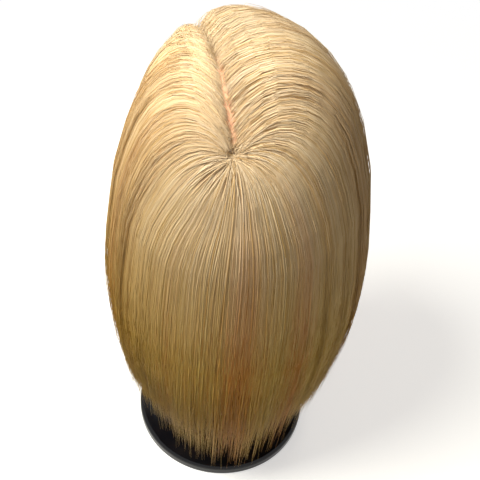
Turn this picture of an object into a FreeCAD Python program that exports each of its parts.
import FreeCAD, Part
import math
import os
import Sketcher
from FreeCAD import Rotation, Vector
from types import SimpleNamespace

# A hairdresser's training head on a weighted swivel stand, in millimetres.
# Frame: origin at the centre of the underside, +Z up, the face looks towards -Y, its left ear towards +X.

DRIVING_SIZES = [
    # rubber pad, steel plate, ballast and moulded cover of the base
    ("pad_radius", 69.0),
    ("pad_thick", 2.0),
    ("plate_radius", 70.0),
    ("plate_thick", 3.0),
    ("rim_radius", 75.0),
    ("rim_bottom", 1.0),
    ("rim_top", 9.0),
    ("rim_round", 3.0),
    ("flare_radius", 60.0),
    ("cover_wall", 3.0),
    ("cover_top", 44.0),
    ("cover_top_radius", 19.0),
    ("weight_radius", 60.0),
    ("weight_fit", 0.5),
    ("weight_gap", 1.5),
    # column
    ("tube_radius", 12.0),
    ("tube_wall", 2.0),
    ("tube_fit", 0.15),
    ("plug_length", 15.0),
    ("centre_screw_radius", 3.0),
    ("centre_screw_head", 6.0),
    ("centre_screw_length", 13.0),
    ("collar_radius", 19.0),
    ("collar_round", 2.0),
    # spindle, bushes and clip
    ("spindle_radius", 6.0),
    ("running_fit", 0.05),
    ("lower_bush_top", 41.0),
    ("bush_length", 9.0),
    ("upper_bush_length", 5.0),
    ("bush_flange", 1.0),
    ("washer_thick", 1.0),
    ("clip_radius", 8.5),
    ("clip_thick", 1.2),
    ("clip_groove", 1.0),
    ("clip_gap", 0.3),
    ("clip_opening", 5.0),
    ("spindle_tail", 3.0),
    # lock screw, its nut and its knob
    ("lock_radius", 3.0),
    ("lock_gap", 0.1),
    ("lock_hole_gap", 0.6),
    ("lock_length", 28.0),
    ("boss_radius", 6.5),
    ("boss_reach", 27.0),
    ("boss_clear", 0.5),
    ("boss_cap", 2.5),
    ("nut_radius", 4.8),
    ("nut_length", 6.0),
    ("knob_radius", 11.0),
    ("knob_length", 14.0),
    ("knob_gap", 3.5),
    ("knob_flute", 2.6),
    ("knob_round", 1.5),
    # mandrel
    ("seat_gap", 0.1),
    ("mandrel_flange_radius", 21.0),
    ("mandrel_flange_thick", 3.0),
    ("mandrel_foot_radius", 14.5),
    ("mandrel_tip_radius", 10.5),
    ("mandrel_length", 72.0),
    ("mandrel_cap", 4.0),
    ("mandrel_flute", 1.8),
    ("flute_foot", 6.0),
    ("cap_screw_radius", 2.0),
    ("cap_screw_head", 4.5),
    ("cap_screw_head_thick", 3.0),
    ("cap_screw_length", 14.0),
    # socket, plate and screws in the neck
    ("socket_fit", 0.3),
    ("socket_wall", 2.5),
    ("socket_room", 4.0),
    ("socket_flange_radius", 25.0),
    ("neck_plate_thick", 3.0),
    ("neck_plate_gap", 2.0),
    ("neck_screw_circle", 38.0),
    ("neck_screw_radius", 1.8),
    ("neck_screw_head", 3.6),
    ("neck_screw_length", 18.0),
    # head
    ("skin_wall", 3.0),
    ("glue_gap", 0.3),
    ("neck_radius", 57.0),
    ("neck_length", 66.0),
    ("skull_height", 230.0),
    ("head_half_width", 75.0),
    ("face_reach", 104.0),
    ("nape_reach", 74.0),
    ("nose_reach", 21.0),
    ("eye_radius", 12.0),
    ("eye_spread", 32.0),
    ("eye_inset", 3.0),
    ("lid_thick", 1.6),
    ("eye_fit", 0.2),
    ("lash_length", 7.0),
    ("lash_thick", 0.5),
    ("ear_height", 62.0),
    # hair
    ("hair_half_width", 93.0),
    ("hair_front", 118.5),
    ("hair_back", 95.5),
    ("hair_shift", 10.7),
    ("hair_over_scalp", 11.0),
    ("hair_wide_height", 248.0),
    ("hair_end_height", 66.0),
    ("hair_thick", 13.0),
    ("hair_bow", 0.11),
    ("hair_taper", 0.08),
    ("hair_skin_gap", 1.6),
    ("face_window", 54.0),
    ("whorl_back", 51.0),
    ("parting_shift", 26.0),
    ("parting_reach", 98.0),
    ("valley_width", 15.0),
]

LIPS = {"upper": 0.226, "line": 0.193, "lower": 0.160}
NOSE = {"root": 0.52, "tip": 0.335, "base": 0.278}
EYE_LEVEL = 0.50
EAR_LEVEL = 0.43
PARTING = [(0.0, 0.0), (0.034, 0.19), (0.114, 0.385), (0.235, 0.58), (0.37, 0.73), (0.54, 0.865)]
PARTING += [(0.73, 0.96), (0.88, 1.0)]

doc = FreeCAD.newDocument("TrainingHead")
sheet = doc.addObject("Spreadsheet::Sheet", "Sizes")
for row, (alias, number) in enumerate(DRIVING_SIZES, start=1):
    sheet.set(f"A{row}", alias)
    sheet.set(f"B{row}", str(number))
    sheet.setAlias(f"B{row}", alias)
doc.recompute()


class Size:
    """A number with the expression over the sheet's cells that it comes from."""

    def __init__(self, value, text):
        self.value = value
        self.text = text

    def __add__(self, other):
        other = as_size(other)
        return Size(self.value + other.value, f"({self.text} + {other.text})")

    def __sub__(self, other):
        other = as_size(other)
        return Size(self.value - other.value, f"({self.text} - {other.text})")

    def __mul__(self, other):
        other = as_size(other)
        return Size(self.value * other.value, f"({self.text} * {other.text})")

    def root(self):
        return Size(math.sqrt(self.value), f"sqrt({self.text})")

    def negative(self):
        return Size(-self.value, f"(-1 * {self.text})")


def as_size(amount):
    return amount if isinstance(amount, Size) else Size(float(amount), str(float(amount)))


S = SimpleNamespace(**{alias: Size(float(sheet.get(alias)), f"Sizes.{alias}") for alias, _ in DRIVING_SIZES})
ZERO = as_size(0.0)

# Heights and lengths worked out from the driving sizes, from the floor upwards.
plate_bottom = S.pad_thick
plate_top = plate_bottom + S.plate_thick
lock_height = S.cover_top + S.boss_clear + S.boss_radius
tube_top = lock_height + S.boss_radius + S.boss_cap
collar_top = tube_top + S.bush_flange
washer_top = collar_top + S.washer_thick
flange_bottom = washer_top + S.seat_gap
flange_top = flange_bottom + S.mandrel_flange_thick
mandrel_top = flange_top + S.mandrel_length
neck_bottom = flange_top + S.seat_gap
tube_bore = S.tube_radius - S.tube_wall
bush_bore = S.spindle_radius + S.running_fit
lower_bush_bottom = S.lower_bush_top - S.bush_length
clip_top = lower_bush_bottom - S.clip_gap
clip_bottom = clip_top - S.clip_thick
spindle_bottom = clip_bottom - S.spindle_tail
spindle_top = mandrel_top - S.mandrel_cap
groove_radius = S.spindle_radius - S.clip_groove


# ---------------------------------------------------------------- sketches and features


def body_named(label):
    body = doc.addObject("PartDesign::Body", label)
    body.Label = label
    return body


def sketch_on(body, name, role, offset=None):
    """A sketch on one of the body's own origin planes, lifted along its normal by the offset."""
    sketch = body.newObject("Sketcher::SketchObject", name)
    plane = next(p for p in body.Origin.OriginFeatures if p.Role == role)
    sketch.AttachmentSupport = (plane, [""])
    sketch.MapMode = "FlatFace"
    if offset is not None:
        sketch.setExpression("AttachmentOffset.Base.z", offset.text)
    return sketch


def bind(sketch, kind, places, amount):
    index = sketch.addConstraint(Sketcher.Constraint(kind, *places, amount.value))
    sketch.setExpression(f"Constraints[{index}]", amount.text)


def pin(sketch, geometry, point, x, y):
    """Fixes a point of the sketch at (x, y) by two dimensions from the origin."""
    for kind, amount, axis in (("DistanceX", x, -2), ("DistanceY", y, -1)):
        if amount.value == 0:
            sketch.addConstraint(Sketcher.Constraint("PointOnObject", geometry, point, axis))
        elif amount.value > 0:
            bind(sketch, kind, (-1, 1, geometry, point), amount)
        else:
            bind(sketch, kind, (geometry, point, -1, 1), amount.negative())


def arc_through(start, end, radius, side):
    """The short arc from start to end; side +1 bends it to the left of the way, -1 to the right."""
    chord = end - start
    across = Vector(-chord.y, chord.x, 0).normalize() * side
    half = chord.Length / 2
    rise = radius - math.sqrt(radius**2 - half**2)
    return Part.Arc(start, (start + end) * 0.5 + across * rise, end)


def outline(sketch, corners):
    """A closed outline. A corner is (x, y), or (x, y, radius, side) where an arc leaves it."""
    corners = [tuple(as_size(c) for c in corner) for corner in corners]
    ends = []
    for here, there in zip(corners, corners[1:] + corners[:1]):
        start = Vector(here[0].value, here[1].value, 0)
        end = Vector(there[0].value, there[1].value, 0)
        if len(here) == 2:
            edge = sketch.addGeometry(Part.LineSegment(start, end), False)
            ends.append((edge, 1, 2))
            continue
        edge = sketch.addGeometry(arc_through(start, end, here[2].value, here[3].value), False)
        backwards = (sketch.getPoint(edge, 1) - start).Length > (sketch.getPoint(edge, 2) - start).Length
        ends.append((edge, 2, 1) if backwards else (edge, 1, 2))
    for (edge, _, last), (following, first, _) in zip(ends, ends[1:] + ends[:1]):
        sketch.addConstraint(Sketcher.Constraint("Coincident", edge, last, following, first))
    for (edge, first, _), corner in zip(ends, corners):
        pin(sketch, edge, first, corner[0], corner[1])
        if len(corner) == 4:
            bind(sketch, "Radius", (edge,), corner[2])


def ring(sketch, x, y, radius):
    edge = sketch.addGeometry(Part.Circle(Vector(x.value, y.value, 0), Vector(0, 0, 1), radius.value), False)
    pin(sketch, edge, 3, x, y)
    bind(sketch, "Radius", (edge,), radius)


def turned(label, corners):
    """A turned piece: in its outline x is the radius and y the height."""
    body = body_named(label)
    sketch = sketch_on(body, label + "_profile", "XZ_Plane")
    outline(sketch, corners)
    turning = body.newObject("PartDesign::Revolution", label + "_turning")
    turning.Profile = sketch
    turning.ReferenceAxis = (sketch, ["V_Axis"])
    turning.Angle = 360
    doc.recompute()
    return body


def pocket(body, name, sketch, length=None, away=False):
    """Cuts the sketch out of the body, through all of it where no length is given."""
    cut = body.newObject("PartDesign::Pocket", name)
    cut.Profile = sketch
    cut.Reversed = away
    if length is None:
        cut.Type = "ThroughAll"
    else:
        cut.setExpression("Length", length.text)
    before = body.Shape.Volume
    doc.recompute()
    if body.Shape.Volume >= before - 1e-6:
        raise RuntimeError(f"{name} cuts nothing")
    return cut


def around(body, name, feature, count):
    """Repeats a feature evenly around the Z axis."""
    pattern = body.newObject("PartDesign::PolarPattern", name)
    pattern.Originals = [feature]
    pattern.Axis = (feature.Profile[0], ["N_Axis"])
    pattern.Angle = 360
    pattern.Occurrences = count
    body.Tip = pattern
    doc.recompute()
    return pattern


def rounded(body, name, radius, wanted):
    """Rounds the edges of the body for which wanted(edge) holds."""
    tip = body.Tip
    names = [f"Edge{i}" for i, edge in enumerate(tip.Shape.Edges, start=1) if wanted(edge)]
    fillet = body.newObject("PartDesign::Fillet", name)
    fillet.Base = (tip, names)
    fillet.setExpression("Radius", radius.text)
    doc.recompute()
    return fillet


def circle_at(height, radius):
    """Picks the level circular edges of a radius at a height."""

    def wanted(edge):
        curve = edge.Curve
        if not isinstance(curve, Part.Circle):
            return False
        return abs(curve.Center.z - height.value) < 0.01 and abs(curve.Radius - radius.value) < 0.01

    return wanted


def solid_feature(label, shape):
    feature = doc.addObject("Part::Feature", label)
    feature.Label = label
    feature.Shape = shape
    return feature


# ---------------------------------------------------------------- the base


def flare_centre():
    """Centre of the arc that sweeps the cover up from its rim to the column."""
    foot = (S.rim_radius - S.rim_round, S.rim_top)
    head = (S.cover_top_radius, S.cover_top)
    run = foot[0].value - head[0].value
    rise = head[1].value - foot[1].value
    chord = math.hypot(run, rise)
    reach = math.sqrt(S.flare_radius.value**2 - chord**2 / 4)
    x = (foot[0].value + head[0].value) / 2 + reach * rise / chord
    z = (foot[1].value + head[1].value) / 2 + reach * run / chord
    return x, z


def flare_height(radius, depth):
    """Height of the cover's arc, sunk by a depth, at a radius."""
    x, z = flare_centre()
    return as_size(z - math.sqrt((S.flare_radius.value + depth.value) ** 2 - (x - radius.value) ** 2))


def make_foot_pad():
    edge = as_size(0.5)
    turned(
        "foot_pad",
        [
            (0, 0),
            (S.pad_radius - edge, 0),
            (S.pad_radius, edge),
            (S.pad_radius, S.pad_thick),
            (0, S.pad_thick),
        ],
    )


def make_base_plate():
    turned(
        "base_plate",
        [
            (S.centre_screw_head, plate_bottom),
            (S.plate_radius, plate_bottom),
            (S.plate_radius, plate_top),
            (S.centre_screw_radius, plate_top),
        ],
    )


def make_base_weight():
    sunk = S.cover_wall + S.weight_gap
    bore = S.tube_radius + S.weight_fit
    top_radius = S.cover_top_radius + S.cover_wall
    turned(
        "base_weight",
        [
            (bore, plate_top),
            (S.weight_radius, plate_top),
            (S.weight_radius, flare_height(S.weight_radius, sunk), S.flare_radius + sunk, 1),
            (top_radius, flare_height(top_radius, sunk)),
            (bore, flare_height(top_radius, sunk)),
        ],
    )


def make_base_shell():
    inner_rim = S.rim_radius - S.cover_wall
    inner_top = S.cover_top_radius
    foot = S.rim_radius - S.rim_round
    bore = S.tube_radius + S.tube_fit
    body = turned(
        "base_shell",
        [
            (inner_rim, S.rim_bottom),
            (S.rim_radius, S.rim_bottom),
            (S.rim_radius, S.rim_top - S.rim_round, S.rim_round, -1),
            (foot, S.rim_top, S.flare_radius, 1),
            (S.cover_top_radius, S.cover_top),
            (bore, S.cover_top),
            (bore, flare_height(inner_top, S.cover_wall)),
            (inner_top, flare_height(inner_top, S.cover_wall), S.flare_radius + S.cover_wall, -1),
            (inner_rim, flare_height(inner_rim, S.cover_wall)),
        ],
    )
    return body


# ---------------------------------------------------------------- the column


def make_column_tube():
    body = turned(
        "column_tube",
        [
            (tube_bore, plate_top),
            (S.tube_radius, plate_top),
            (S.tube_radius, tube_top),
            (tube_bore, tube_top),
        ],
    )
    hole = sketch_on(body, "column_tube_hole_circle", "XZ_Plane")
    ring(hole, ZERO, lock_height, S.lock_radius + S.lock_hole_gap)
    pocket(body, "column_tube_hole", hole, S.tube_radius + S.tube_wall, away=True)


def make_column_plug():
    turned(
        "column_plug",
        [
            (S.centre_screw_radius, plate_top),
            (tube_bore, plate_top),
            (tube_bore, plate_top + S.plug_length),
            (S.centre_screw_radius, plate_top + S.plug_length),
        ],
    )


def make_centre_screw():
    turned(
        "centre_screw",
        [
            (0, plate_bottom),
            (S.centre_screw_head, plate_bottom),
            (S.centre_screw_radius, plate_top),
            (S.centre_screw_radius, plate_bottom + S.centre_screw_length),
            (0, plate_bottom + S.centre_screw_length),
        ],
    )


def make_column_collar():
    """A moulded collar; its boss carries the lock screw and holds a nut at its mouth."""
    body = turned(
        "column_collar",
        [(0, S.cover_top), (S.collar_radius, S.cover_top), (S.collar_radius, collar_top), (0, collar_top)],
    )
    rounded(body, "column_collar_round", S.collar_round, circle_at(collar_top, S.collar_radius))
    boss = sketch_on(body, "column_collar_boss_circle", "XZ_Plane")
    ring(boss, ZERO, lock_height, S.boss_radius)
    pad = body.newObject("PartDesign::Pad", "column_collar_boss")
    pad.Profile = boss
    pad.setExpression("Length", S.boss_reach.text)
    doc.recompute()
    bore = sketch_on(body, "column_collar_bore_circle", "XY_Plane")
    ring(bore, ZERO, ZERO, S.tube_radius + S.tube_fit)
    pocket(body, "column_collar_bore", bore, away=True)
    way = sketch_on(body, "column_collar_screw_circle", "XZ_Plane")
    ring(way, ZERO, lock_height, S.lock_radius + S.lock_hole_gap)
    pocket(body, "column_collar_screw_hole", way, away=True)
    seat = sketch_on(body, "column_collar_nut_circle", "XZ_Plane", S.boss_reach - S.nut_length)
    ring(seat, ZERO, lock_height, S.nut_radius)
    pocket(body, "column_collar_nut_seat", seat, away=True)


def make_bushes():
    turned(
        "lower_bush",
        [
            (bush_bore, lower_bush_bottom),
            (tube_bore, lower_bush_bottom),
            (tube_bore, S.lower_bush_top),
            (bush_bore, S.lower_bush_top),
        ],
    )
    turned(
        "upper_bush",
        [
            (bush_bore, tube_top - S.upper_bush_length),
            (tube_bore, tube_top - S.upper_bush_length),
            (tube_bore, tube_top),
            (S.tube_radius, tube_top),
            (S.tube_radius, collar_top),
            (bush_bore, collar_top),
        ],
    )


def make_thrust_washer():
    inner = S.spindle_radius + S.running_fit
    outer = S.collar_radius - S.collar_round
    turned(
        "thrust_washer",
        [(inner, collar_top), (outer, collar_top), (outer, washer_top), (inner, washer_top)],
    )


# ---------------------------------------------------------------- the lock


def face_forward(body, reach):
    """Lays a body turned about Z along -Y, at the height of the lock screw."""
    body.Placement = FreeCAD.Placement(Vector(0, 0, 0), Rotation(Vector(1, 0, 0), 90))
    body.setExpression("Placement.Base.y", f"-1 * {reach.text}")
    body.setExpression("Placement.Base.z", lock_height.text)


def make_lock_nut():
    bore = S.lock_radius + S.running_fit
    outline = [(bore, 0), (S.nut_radius, 0), (S.nut_radius, S.nut_length), (bore, S.nut_length)]
    body = turned("lock_nut", outline)
    face_forward(body, S.boss_reach - S.nut_length)


def make_lock_screw():
    point = as_size(1.0)
    body = turned(
        "lock_screw",
        [
            (0, 0),
            (S.lock_radius - point, 0),
            (S.lock_radius, point),
            (S.lock_radius, S.lock_length),
            (0, S.lock_length),
        ],
    )
    face_forward(body, S.spindle_radius + S.lock_gap)


def make_lock_knob():
    """A hand knob with a hub, a blind hole for the screw and six flutes around its rim."""
    hub = S.boss_radius
    shoulder = as_size(3.0)
    bore = S.lock_radius + S.running_fit
    hole = S.spindle_radius + S.lock_gap + S.lock_length - S.boss_reach - S.knob_gap + S.seat_gap
    body = turned(
        "lock_knob",
        [
            (bore, 0),
            (hub, 0),
            (hub, shoulder),
            (S.knob_radius, shoulder),
            (S.knob_radius, S.knob_length),
            (0, S.knob_length),
            (0, hole),
            (bore, hole),
        ],
    )
    rounded(body, "lock_knob_round", S.knob_round, circle_at(S.knob_length, S.knob_radius))
    flute = sketch_on(body, "lock_knob_flute_circle", "XY_Plane")
    ring(flute, S.knob_radius + S.knob_flute * 0.35, ZERO, S.knob_flute)
    cut = pocket(body, "lock_knob_flute", flute, away=True)
    around(body, "lock_knob_flutes", cut, 6)
    face_forward(body, S.boss_reach + S.knob_gap)


# ---------------------------------------------------------------- spindle and mandrel


def make_spindle():
    bevel = as_size(1.0)
    body = turned(
        "spindle",
        [
            (0, spindle_bottom),
            (S.spindle_radius - bevel, spindle_bottom),
            (S.spindle_radius, spindle_bottom + bevel),
            (S.spindle_radius, clip_bottom),
            (groove_radius, clip_bottom),
            (groove_radius, clip_top),
            (S.spindle_radius, clip_top),
            (S.spindle_radius, spindle_top),
            (S.cap_screw_radius, spindle_top),
            (S.cap_screw_radius, mandrel_top - S.cap_screw_length),
            (0, mandrel_top - S.cap_screw_length),
        ],
    )
    return body


def make_retaining_ring():
    """A ring that clips into the spindle's groove, open on one side."""
    body = turned(
        "retaining_ring",
        [
            (groove_radius, clip_bottom),
            (S.clip_radius, clip_bottom),
            (S.clip_radius, clip_top),
            (groove_radius, clip_top),
        ],
    )
    mouth = sketch_on(body, "retaining_ring_mouth_outline", "XY_Plane")
    half = S.clip_opening * 0.5
    outline(
        mouth,
        [
            (half.negative(), ZERO),
            (half, ZERO),
            (half, S.clip_radius * 1.5),
            (half.negative(), S.clip_radius * 1.5),
        ],
    )
    pocket(body, "retaining_ring_mouth", mouth, away=True)


def make_mandrel():
    """A tapered plug with a flange and six flutes that carries the head and grips it by its taper."""
    nose = as_size(2.0)
    body = turned(
        "mandrel",
        [
            (S.spindle_radius, flange_bottom),
            (S.mandrel_flange_radius, flange_bottom),
            (S.mandrel_flange_radius, flange_top),
            (S.mandrel_foot_radius, flange_top),
            (S.mandrel_tip_radius, mandrel_top - nose),
            (S.mandrel_tip_radius - nose, mandrel_top),
            (S.cap_screw_radius, mandrel_top),
            (S.cap_screw_radius, spindle_top),
            (S.spindle_radius, spindle_top),
        ],
    )
    flute = sketch_on(body, "mandrel_flute_circle", "XY_Plane", flange_top + S.flute_foot)
    ring(flute, S.mandrel_foot_radius, ZERO, S.mandrel_flute * 1.5)
    cut = pocket(body, "mandrel_flute_cut", flute, away=True)
    around(body, "mandrel_flutes", cut, 6)


def make_mandrel_screw():
    shank_end = mandrel_top - S.cap_screw_length
    head_top = mandrel_top + S.cap_screw_head_thick
    bevel = as_size(1.0)
    turned(
        "mandrel_screw",
        [
            (0, shank_end),
            (S.cap_screw_radius, shank_end),
            (S.cap_screw_radius, mandrel_top),
            (S.cap_screw_head, mandrel_top),
            (S.cap_screw_head, head_top - bevel),
            (S.cap_screw_head - bevel, head_top),
            (0, head_top),
        ],
    )


# ---------------------------------------------------------------- the neck's fittings


def socket_heights():
    inside_top = mandrel_top + S.cap_screw_head_thick + S.socket_room
    return neck_bottom + S.neck_plate_thick, inside_top, inside_top + S.socket_wall


def make_neck_socket():
    """The tapered cup in the neck that goes over the mandrel."""
    flange_top_here, inside_top, outside_top = socket_heights()
    foot = S.mandrel_foot_radius + S.socket_fit
    tip = S.mandrel_tip_radius + S.socket_fit
    turned(
        "neck_socket",
        [
            (foot, neck_bottom),
            (S.socket_flange_radius, neck_bottom),
            (S.socket_flange_radius, flange_top_here),
            (foot + S.socket_wall, flange_top_here),
            (tip + S.socket_wall, outside_top),
            (0, outside_top),
            (0, inside_top),
            (tip, inside_top),
            (tip, mandrel_top),
        ],
    )


def make_neck_plate():
    outer = S.neck_radius - S.skin_wall - S.neck_plate_gap
    top = neck_bottom + S.neck_plate_thick
    body = turned(
        "neck_plate",
        [
            (S.socket_flange_radius, neck_bottom),
            (outer, neck_bottom),
            (outer, top),
            (S.socket_flange_radius, top),
        ],
    )
    hole = sketch_on(body, "neck_plate_hole_circle", "XY_Plane", neck_bottom)
    ring(hole, S.neck_screw_circle, ZERO, S.neck_screw_head)
    cut = pocket(body, "neck_plate_hole", hole, away=True)
    around(body, "neck_plate_holes", cut, 3)


def neck_screw_shape(slack):
    """One flat-headed screw on the X axis, fatter all round by the slack."""
    head = S.neck_screw_head.value
    shank = S.neck_screw_radius.value + slack
    bottom = neck_bottom.value
    place = Vector(S.neck_screw_circle.value, 0, bottom)
    disc = Part.makeCylinder(head, S.neck_plate_thick.value, place)
    rod = Part.makeCylinder(shank, S.neck_screw_length.value + slack, place)
    return disc.fuse(rod).removeSplitter()


def thirds(shape):
    """The shape and its two copies turned by a third of a turn about Z."""
    copies = []
    for angle in (0, 120, 240):
        turned_copy = shape.copy()
        turned_copy.rotate(Vector(0, 0, 0), Vector(0, 0, 1), angle)
        copies.append(turned_copy)
    return Part.makeCompound(copies)


def make_neck_screws():
    solid_feature("neck_screws", thirds(neck_screw_shape(0.0)))


# ---------------------------------------------------------------- the head

# A level is the height on the head: -1 at the foot of the neck, 0 at the chin, 1 at the crown.


def smooth_through(knots, level):
    """A cubic curve through (level, amount) knots whose slope at each is that of its neighbours."""
    if level <= knots[0][0]:
        return knots[0][1]
    if level >= knots[-1][0]:
        return knots[-1][1]
    i = max(n for n in range(len(knots) - 1) if knots[n][0] <= level)

    def slope(n):
        low, high = max(n - 1, 0), min(n + 1, len(knots) - 1)
        return (knots[high][1] - knots[low][1]) / (knots[high][0] - knots[low][0])

    (x0, y0), (x1, y1) = knots[i], knots[i + 1]
    span = x1 - x0
    p = (level - x0) / span
    rest = 1 - p
    return (
        rest * rest * (1 + 2 * p) * y0
        + p * rest * rest * span * slope(i)
        + p * p * (3 - 2 * p) * y1
        - p * p * rest * span * slope(i + 1)
    )


def head_profiles():
    """Reach forwards, reach backwards and half width of the head, each as knots over its level."""
    neck = S.neck_radius.value
    face = S.face_reach.value
    nape = S.nape_reach.value
    side = S.head_half_width.value
    front = [(-1, neck), (-0.8, neck * 0.9), (-0.5, neck * 0.78), (-0.22, neck * 0.78), (-0.08, face * 0.6)]
    front += [(0.0, face * 0.86), (0.05, face * 0.945), (0.11, face * 0.945), (0.19, face * 0.985)]
    front += [(0.30, face * 0.985), (0.42, face * 0.955), (0.52, face * 0.965), (0.58, face), (0.64, face)]
    back = [(-1, neck), (-0.75, neck * 0.92), (-0.4, neck * 0.87), (0.0, nape * 0.64), (0.12, nape * 0.70)]
    back += [(0.26, nape * 0.83), (0.40, nape * 0.95), (0.54, nape), (0.64, nape)]
    half = [(-1, neck), (-0.8, neck * 0.92), (-0.5, neck * 0.85), (-0.15, neck * 0.83), (0.0, side * 0.66)]
    half += [(0.09, side * 0.745), (0.18, side * 0.82), (0.30, side * 0.90), (0.45, side * 0.95)]
    half += [(0.56, side * 0.985), (0.64, side)]
    return front, back, half


HEAD_PROFILES = head_profiles()
DOME_LEVEL = 0.64
FACE_SCALE = S.head_half_width.value / 75.0
DOME_POWERS = (2.2, 1.75, 2.2)


def level_height(level):
    chin = neck_bottom.value + S.neck_length.value
    return chin + level * (S.skull_height.value if level > 0 else S.neck_length.value)


def bump(x, centre, width, power=2):
    return math.exp(-((abs(x - centre) / width) ** power))


def face_hollows(x, level):
    """The eye sockets, in millimetres, below the smooth face."""
    socket = bump(abs(x), S.eye_spread.value, 17.0) * bump(level, EYE_LEVEL, 0.055)
    return -9.0 * socket


def face_bumps(x, level):
    """Nose, lips, chin, brow and cheekbones, in millimetres, above the smooth face."""
    total = 0.0
    if NOSE["tip"] <= level < NOSE["root"]:
        rise = (NOSE["root"] - level) / (NOSE["root"] - NOSE["tip"])
        total += S.nose_reach.value * rise**1.15 * bump(x, 0, 6.5 + 4.5 * rise)
    elif NOSE["base"] - 0.02 < level < NOSE["tip"]:
        fall = (NOSE["tip"] - level) / (NOSE["tip"] - NOSE["base"] + 0.02)
        total += S.nose_reach.value * math.sqrt(1 - fall**2) * bump(x, 0, 11.0)
    total += 8.0 * bump(abs(x), 12.0, 5.5) * bump(level, 0.305, 0.028)
    total += 4.5 * bump(x, 0, 21.0, 4) * bump(level, LIPS["upper"], 0.020)
    total += 5.0 * bump(x, 0, 18.0, 4) * bump(level, LIPS["lower"], 0.020)
    total -= 1.5 * bump(x, 0, 22.0, 4) * bump(level, LIPS["line"], 0.012)
    total += 5.5 * bump(x, 0, 17.0) * bump(level, 0.055, 0.045)
    total += 2.5 * bump(abs(x), 26.0, 18.0) * bump(level, 0.575, 0.030)
    total += 3.0 * bump(abs(x), 46.0, 16.0) * bump(level, 0.40, 0.060)
    return total


def head_section(level, inset, with_face, count):
    """A level section of the head as one closed outline, drawn in by the inset."""
    rise = max(0.0, (level - DOME_LEVEL) / (1 - DOME_LEVEL))
    domes = ((1 - rise**power) ** (1 / power) for power in DOME_POWERS)
    reaches = (smooth_through(knots, level) * dome for knots, dome in zip(HEAD_PROFILES, domes))
    front, back, half = (reach - inset for reach in reaches)
    height = level_height(level) - inset * rise
    points = []
    for n in range(count):
        turn = 2 * math.pi * n / count
        angle = turn - 0.45 * math.sin(turn)
        x = half * math.sin(angle)
        forward = math.cos(angle)
        y = -forward * (front if forward > 0 else back)
        if forward > 0:
            relief = face_hollows(x / FACE_SCALE, level)
            if with_face:
                relief += face_bumps(x / FACE_SCALE, level)
            y -= relief * FACE_SCALE * min(1.0, 2.5 * forward)
        points.append(Vector(x, y, height))
    return Part.makePolygon(points + points[:1])


NECK_LEVELS = [-1, -0.8, -0.55, -0.3, -0.15, -0.07, -0.02]
FACE_LEVELS = [0.02, 0.05, 0.09, 0.13, 0.16, 0.193, 0.226, 0.255, 0.28, 0.305, 0.335, 0.37, 0.41, 0.45, 0.50]
FACE_LEVELS += [0.54, 0.58]
PLAIN_LEVELS = [0.02, 0.05, 0.13, 0.226, 0.335, 0.45, 0.50, 0.54, 0.58]
DOME_ANGLES = (0, 14, 28, 41, 52, 62, 71, 79, 85)


def dome_level(degrees):
    return DOME_LEVEL + (1 - DOME_LEVEL) * math.sin(math.radians(degrees))


def head_solid(inset, with_face, first_level=-1.0, count=24):
    """The head drawn in by the inset: a loft of its level sections, with the face or smooth."""
    levels = NECK_LEVELS + (FACE_LEVELS if with_face else PLAIN_LEVELS) + [dome_level(a) for a in DOME_ANGLES]
    levels = [first_level] + [level for level in levels if level > first_level + 0.02]
    wires = [head_section(level, inset, with_face, count) for level in levels]
    return Part.makeLoft(wires, True, True)


def eye_centre(side):
    """Centre of an eyeball; side is +1 for the head's left."""
    x = S.eye_spread.value
    half = smooth_through(HEAD_PROFILES[2], EYE_LEVEL)
    front = smooth_through(HEAD_PROFILES[0], EYE_LEVEL)
    surface = front * math.sqrt(1 - (x / half) ** 2) + face_hollows(x, EYE_LEVEL)
    y = -(surface - S.eye_radius.value + S.eye_inset.value - 4.0)
    return Vector(side * x, y, level_height(EYE_LEVEL))


def eye_opening(side):
    """The almond between the lids, as a prism from the eye's middle forwards."""
    centre = eye_centre(side)
    width = S.eye_radius.value * 1.15
    rise = S.eye_radius.value * 0.40
    drop = S.eye_radius.value * 0.33
    inner, outer = (Vector(centre.x + w, centre.y, centre.z) for w in (-width, width))
    upper = Part.Arc(inner, centre + Vector(0, 0, rise), outer).toShape()
    lower = Part.Arc(outer, centre + Vector(0, 0, -drop), inner).toShape()
    almond = Part.Face(Part.Wire([upper, lower]))
    return almond.extrude(Vector(0, -2.5 * S.eye_radius.value, 0))


def ear_shape(side):
    """An outer ear: a leaf of an ellipsoid, hollowed from outside, tilted back."""
    half = S.ear_height.value / 2
    leaf = Part.makeSphere(1.0)
    stretch = FreeCAD.Matrix()
    stretch.scale(half * 0.30, half * 0.56, half)
    leaf = leaf.transformGeometry(stretch)
    hollow = Part.makeSphere(1.0)
    dent = FreeCAD.Matrix()
    dent.scale(half * 0.22, half * 0.34, half * 0.62)
    hollow = hollow.transformGeometry(dent)
    hollow.translate(Vector(side * half * 0.30, -half * 0.04, half * 0.06))
    ear = leaf.cut(hollow)
    ear.rotate(Vector(0, 0, 0), Vector(1, 0, 0), -12)
    ear.rotate(Vector(0, 0, 0), Vector(0, 0, 1), side * 14)
    level = EAR_LEVEL
    reach = smooth_through(HEAD_PROFILES[2], level)
    ear.translate(Vector(side * (reach + half * 0.10), half * 0.18, level_height(level)))
    return ear


def sphere_at(centre, radius):
    return Part.makeSphere(radius, centre)


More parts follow.
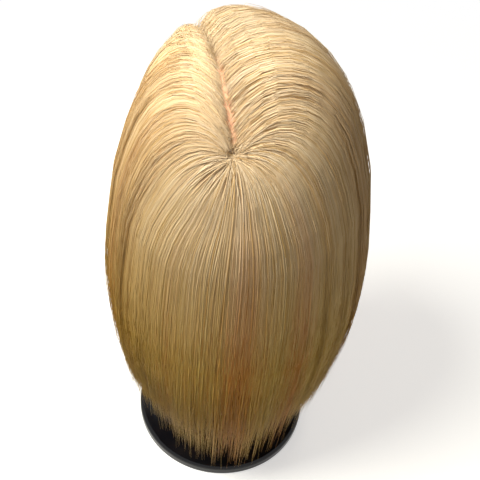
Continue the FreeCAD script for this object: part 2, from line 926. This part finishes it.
def make_head_shell():
    """The vinyl skin: lofted face and skull, ears and eyelids, hollow inside and open at the neck."""
    skin = head_solid(0.0, True, count=44)
    for side in (-1, 1):
        lid = sphere_at(eye_centre(side), S.eye_radius.value + S.eye_fit.value + S.lid_thick.value)
        skin = skin.fuse(lid).fuse(ear_shape(side))
    skin = skin.cut(head_solid(S.skin_wall.value, False))
    floor = neck_bottom.value
    mouth = S.neck_radius.value - S.skin_wall.value
    skin = skin.cut(Part.makeCylinder(mouth, 1.0, Vector(0, 0, floor - 0.5)))
    for side in (-1, 1):
        skin = skin.cut(sphere_at(eye_centre(side), S.eye_radius.value + S.eye_fit.value))
        skin = skin.cut(eye_opening(side))
    solids = sorted(skin.Solids, key=lambda s: s.Volume)
    solid_feature("head_shell", solids[-1])


def make_foam_core():
    """The rigid foam inside the skin, bored for the socket and the screws and hollowed for the eyes."""
    start = -1 + (S.neck_plate_thick.value / S.neck_length.value)
    foam = head_solid(S.skin_wall.value + S.glue_gap.value, False, start)
    flange_top_here, _, outside_top = (h.value for h in socket_heights())
    wall = S.socket_wall.value
    foot = S.mandrel_foot_radius.value + S.socket_fit.value + wall
    tip = S.mandrel_tip_radius.value + S.socket_fit.value + wall
    way = Part.makeCone(foot, tip, outside_top - flange_top_here, Vector(0, 0, flange_top_here))
    foam = foam.cut(way)
    for hole in thirds(neck_screw_shape(S.eye_fit.value)).Solids:
        foam = foam.cut(hole)
    reach = S.eye_radius.value + S.eye_fit.value + S.lid_thick.value + S.glue_gap.value
    for side in (-1, 1):
        back_of_pocket = eye_centre(side) + Vector(0, S.glue_gap.value, 0)
        foam = foam.cut(Part.makeCylinder(reach, S.face_reach.value, back_of_pocket, Vector(0, -1, 0)))
    solids = sorted(foam.Solids, key=lambda s: s.Volume)
    solid_feature("foam_core", solids[-1])


def make_eyes():
    for name, side in (("left_eye", 1), ("right_eye", -1)):
        ball = doc.addObject("Part::Sphere", name)
        ball.Label = name
        ball.setExpression("Radius", S.eye_radius.text)
        ball.Angle3 = 180
        ball.Placement = FreeCAD.Placement(eye_centre(side), Rotation(Vector(0, 0, 1), 180))


def make_lashes():
    """A thin curved strip that stands out from the edge of each upper lid."""
    lift = S.eye_radius.value * 0.42
    lid = S.eye_radius.value + S.eye_fit.value + S.lid_thick.value
    skin = doc.getObject("head_shell").Shape
    inner = math.sqrt(lid**2 - lift**2)
    outer = inner + S.lash_length.value
    for name, side in (("left_lashes", 1), ("right_lashes", -1)):
        centre = eye_centre(side) + Vector(0, 0, lift)
        wide = Part.makeCylinder(outer, S.lash_thick.value, centre)
        strip = wide.cut(Part.makeCylinder(inner, S.lash_thick.value, centre))
        span = outer * 1.2
        front = Part.makeBox(span, outer, S.lash_thick.value, centre - Vector(span / 2, outer, 0))
        corner = centre - Vector(span / 2, outer + inner * 0.62, 0)
        ahead = Part.makeBox(span, outer, S.lash_thick.value, corner)
        strip = strip.common(front).common(ahead).cut(skin)
        solid_feature(name, max(strip.Solids, key=lambda s: s.Volume))


# ---------------------------------------------------------------- the hair


def hair_top():
    return level_height(1.0) + S.hair_over_scalp.value


def hair_section(height, inset):
    """A level section of the hair's outer form, drawn in by the inset."""
    wide = S.hair_wide_height.value
    front, back, half = S.hair_front.value, S.hair_back.value, S.hair_half_width.value
    shift = -S.hair_shift.value
    if height > wide:
        rise = (height - wide) / (hair_top() - wide)
        scale = (1 - rise**1.66) ** (1 / 2.64)
        shift -= 3.3 * rise**2
    else:
        fall = (wide - height) / (wide - S.hair_end_height.value)
        fall = min(fall, 1.0)
        scale = 1 - S.hair_taper.value * fall**1.5 + S.hair_bow.value * math.sin(math.pi * fall)
    drawn_back = smooth_through([(190, 0.74), (250, 0.86), (300, 1.0)], height)
    front *= drawn_back
    count = 32
    points = []
    for n in range(count):
        angle = 2 * math.pi * n / count
        forward = math.cos(angle)
        x = (half * scale - inset) * math.sin(angle)
        y = -forward * ((front if forward > 0 else back) * scale - inset) + shift
        points.append(Vector(x, y, height))
    return Part.makePolygon(points + points[:1])


def hair_form():
    wide, end = S.hair_wide_height.value, S.hair_end_height.value
    heights = [end + (wide - end) * n / 5 for n in range(6)]
    rises = (0.16, 0.32, 0.47, 0.61, 0.74, 0.85, 0.93, 0.98)
    heights += [wide + (hair_top() - wide) * rise for rise in rises]
    return Part.makeLoft([hair_section(h, 0.0) for h in heights], True, True)


def hair_hollow():
    """The room inside the hanging hair, closing in above the ears."""
    end = S.hair_end_height.value
    wide = S.hair_wide_height.value
    thick = S.hair_thick.value
    steps = [(end - 2, thick), (end + (wide - end) * 0.3, thick), (end + (wide - end) * 0.65, thick)]
    steps += [(end + (wide - end) * 0.85, thick * 1.6), (wide, thick * 2.8)]
    return Part.makeLoft([hair_section(h, inset) for h, inset in steps], True, True)


def face_window():
    """The arch that the parted hair leaves open in front of the face and the neck."""
    half = S.face_window.value
    top = level_height(0.86)
    low = S.hair_end_height.value - 5
    near = -30.0
    far = -S.hair_front.value - S.hair_shift.value - 30
    lean = S.parting_shift.value * 0.75

    def corner(x, z):
        return Vector(x, far, z)

    left = [(lean, top), (half * 0.72, top - 26), (half, top - 72), (half * 0.94, low)]
    right = [(-half * 0.88, low), (-half, top - 76), (-half * 0.66, top - 24), (lean, top)]
    left, right = ([corner(x, z) for x, z in side] for side in (left, right))
    edges = []
    for points in (left, right):
        curve = Part.BSplineCurve()
        curve.interpolate(points)
        edges.append(curve.toShape())
    edges.insert(1, Part.makeLine(left[-1], right[0]))
    return Part.Face(Part.Wire(edges)).extrude(Vector(0, near - far, 0))


def parting_point(along):
    """A place on the parting, seen from above: 0 at the crown whorl, 1 at the hairline, straight on beyond."""
    aside = smooth_through(PARTING, along) * S.parting_shift.value
    return Vector(aside, S.whorl_back.value - along * (S.whorl_back.value + S.parting_reach.value), 0)


def hair_surface(x, y):
    """The height of the hair's outer form over a place inside its widest outline."""
    ahead = -y - S.hair_shift.value
    reach = S.hair_front.value if ahead > 0 else S.hair_back.value
    k = min(math.hypot(x / S.hair_half_width.value, ahead / reach), 1.0)
    rise = (1 - k**2.64) ** (1 / 1.66)
    return S.hair_wide_height.value + rise * (hair_top() - S.hair_wide_height.value)


def parting_valley():
    """The valley that the parted hair makes: deepest along the parting, fading out to each side."""
    way = [parting_point(n / 12) for n in range(15)]
    sections = []
    for step in (-0.28, -0.16, -0.06, 0.04, 0.16, 0.32, 0.50, 0.68, 0.85, 1.0, 1.12):
        middle = parting_point(max(step, 0.0))
        width = S.valley_width.value * (1 - 0.6 * min(max(step, 0.0), 1.0))
        y = S.whorl_back.value - step * (S.whorl_back.value + S.parting_reach.value)
        corners = []
        for share in (-3.0, -1.8, -1.0, -0.45, 0.0, 0.45, 1.0, 1.8, 3.0):
            x = middle.x + share * width
            away = min(math.hypot(x - point.x, y - point.y) for point in way)
            sunk = S.hair_over_scalp.value * math.exp(-away / width) - 0.6
            corners.append(Vector(x, y, hair_surface(x, y) - sunk))
        top = hair_top() + S.hair_over_scalp.value
        corners += [Vector(corners[-1].x, y, top), Vector(corners[0].x, y, top), corners[0]]
        sections.append(Part.makePolygon(corners))
    return Part.makeLoft(sections, True, True)


def hair_sectors():
    """Upright prisms that divide the hair at the parting and behind the crown."""
    low, high = 0.0, hair_top() + 50
    parting = [(point.x, point.y) for point in map(parting_point, (0.0, 0.12, 0.37, 0.73, 1.7))]
    whorl = parting[0]
    left_back, right_back = (150.0, 170.0), (-150.0, 170.0)
    regions = {
        "hair_left": parting + [(260, -200), (260, 170), left_back],
        "hair_right": parting + [(-260, -200), (-260, 170), right_back],
        "hair_back": [whorl, left_back, (150, 260), (-150, 260), right_back],
    }
    prisms = {}
    for name, corners in regions.items():
        points = [Vector(x, y, low) for x, y in corners]
        prisms[name] = Part.Face(Part.makePolygon(points + points[:1])).extrude(Vector(0, 0, high - low))
    return prisms


def make_hair():
    whole = hair_form().cut(hair_hollow())
    whole = whole.cut(head_solid(-S.hair_skin_gap.value, False))
    for side in (-1, 1):
        whole = whole.cut(ear_room(side))
    whole = whole.cut(face_window()).cut(parting_valley())
    for name, prism in hair_sectors().items():
        solids = sorted(whole.common(prism).Solids, key=lambda s: s.Volume)
        solid_feature(name, solids[-1])


def ear_room(side):
    """Room for an ear inside the hair."""
    half = S.ear_height.value / 2 + 2 * S.hair_skin_gap.value
    room = Part.makeSphere(1.0)
    stretch = FreeCAD.Matrix()
    stretch.scale(half * 0.40, half * 0.66, half)
    room = room.transformGeometry(stretch)
    reach = smooth_through(HEAD_PROFILES[2], EAR_LEVEL)
    room.translate(Vector(side * (reach + half * 0.10), half * 0.18, level_height(EAR_LEVEL)))
    return room


# ---------------------------------------------------------------- build, check and write

make_foot_pad()
make_base_plate()
make_base_weight()
make_base_shell()
make_column_tube()
make_column_plug()
make_centre_screw()
make_column_collar()
make_bushes()
make_thrust_washer()
make_lock_nut()
make_lock_screw()
make_lock_knob()
make_spindle()
make_retaining_ring()
make_mandrel()
make_mandrel_screw()
make_neck_socket()
make_neck_plate()
make_neck_screws()
make_head_shell()
make_foam_core()
make_eyes()
make_lashes()
make_hair()
doc.recompute()

SUB_PARTS = ("PartDesign::Body", "Part::Feature", "Part::Sphere")
sub_parts = [o for o in doc.Objects if o.TypeId in SUB_PARTS]
for item in doc.Objects:
    if "Invalid" in item.State or "Error" in item.State:
        raise RuntimeError(f"{item.Label} did not recompute: {item.State}")
for item in sub_parts:
    if item.Shape.isNull() or not item.Shape.isValid() or not item.Shape.Solids:
        raise RuntimeError(f"{item.Label} has no valid solid")

os.makedirs("parts", exist_ok=True)
for item in sub_parts:
    item.Shape.exportStep(os.path.join("parts", item.Label + ".step"))
    print(item.Label, len(item.Shape.Solids), "solid(s)", round(item.Shape.Volume), "mm3")
